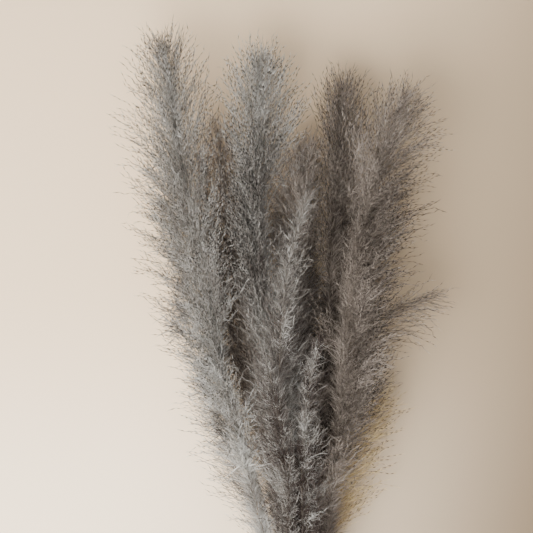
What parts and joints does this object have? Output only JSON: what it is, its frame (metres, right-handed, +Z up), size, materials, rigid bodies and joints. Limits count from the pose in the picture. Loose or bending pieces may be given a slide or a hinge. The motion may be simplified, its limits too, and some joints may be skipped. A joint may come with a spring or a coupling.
{
  "type": "pampas grass bundle",
  "caption": "Bundle of dried pampas grass: long feathery plumes fan out of straw culms tied with twine, lying on its side.",
  "frame": {"origin": "middle of the underside of the bounding box, on the surface that the bundle lies on", "axes": "+Y from the cut ends to the plume tips, +X to the right as seen from above, +Z up from the surface"},
  "size_m": [0.4838, 1.1708, 0.2196],
  "materials": {
    "plume_silver": "matte, downy, silver-grey hairs with dark brown spikelets",
    "plume_taupe": "matte, downy, taupe-brown hairs with dark brown spikelets",
    "plume_straw": "matte, downy, olive-straw hairs with brown spikelets",
    "culm": "dry straw, satin, fine ribs along the stem",
    "twine": "twisted jute, matte and slightly hairy"
  },
  "bodies": {
    "root": {"stem_01": "culm", "stem_02": "culm", "stem_03": "culm", "stem_04": "culm", "stem_05": "culm", "stem_06": "culm", "stem_07": "culm", "stem_08": "culm", "stem_09": "culm", "stem_10": "culm", "stem_11": "culm", "stem_12": "culm", "plume_01": "plume_silver", "plume_02": "plume_taupe", "plume_03": "plume_silver", "plume_04": "plume_silver", "plume_05": "plume_taupe", "plume_06": "plume_taupe", "plume_07": "plume_taupe", "plume_08": "plume_silver", "plume_09": "plume_straw", "plume_10": "plume_silver", "plume_11": "plume_silver", "plume_12": "plume_taupe", "tie": "twine"}
  },
  "joints": []
}
